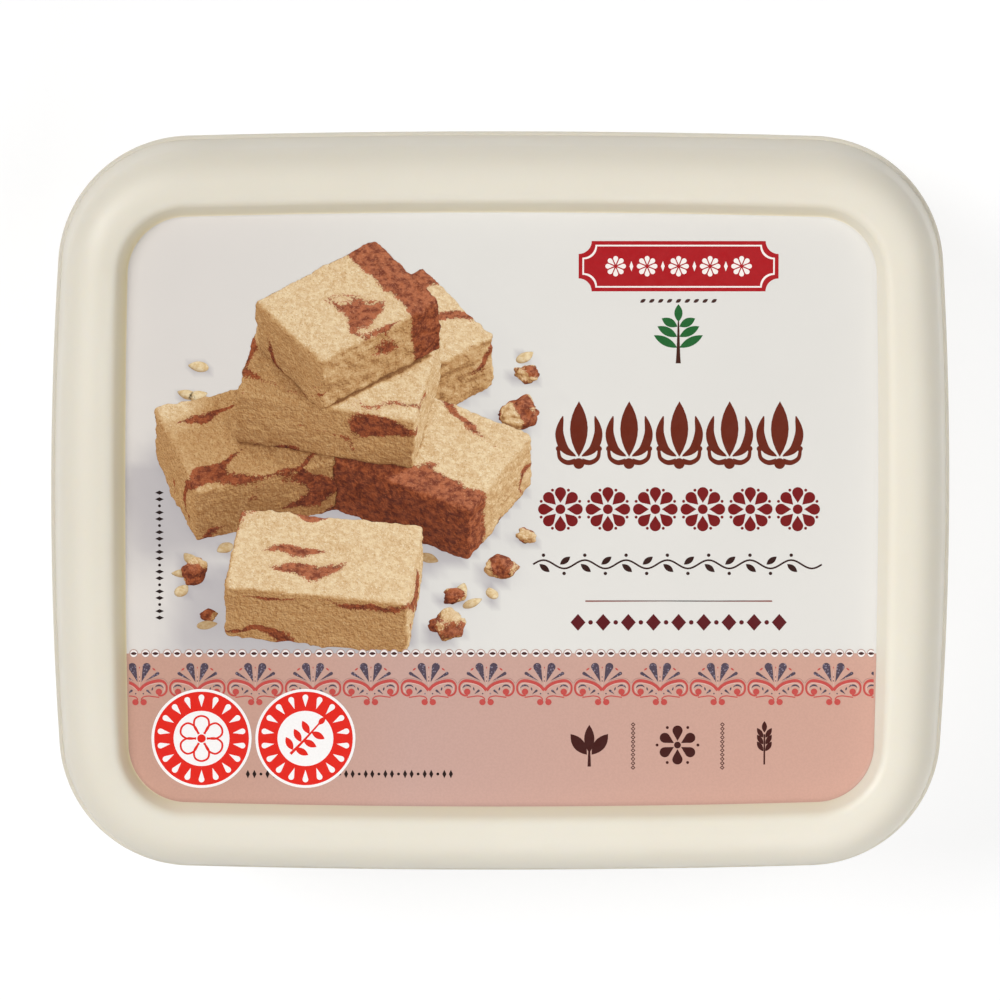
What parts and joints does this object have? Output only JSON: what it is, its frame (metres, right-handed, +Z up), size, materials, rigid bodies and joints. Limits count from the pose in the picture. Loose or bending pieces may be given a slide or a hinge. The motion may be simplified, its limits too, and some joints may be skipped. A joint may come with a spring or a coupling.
{
  "type": "lidded halva tub",
  "caption": "Shut rectangular plastic food tub with tapered walls, a capping lid with a rounded rim, and a printed label in the lid's sunken panel.",
  "frame": {"origin": "centre of the base, on the surface the tub stands on", "axes": "+X along the long side, towards the printed words' end; +Y across the lid, away from the label's coloured band; +Z up"},
  "size_m": [0.132, 0.1096, 0.04],
  "materials": {
    "tub_plastic": "cream moulded polypropylene, satin",
    "lid_plastic": "cream moulded polypropylene, satin",
    "label_film": "printed film moulded into the lid, soft sheen"
  },
  "bodies": {
    "root": {"tub": "tub_plastic", "lid": "lid_plastic", "label": "label_film"}
  },
  "joints": []
}
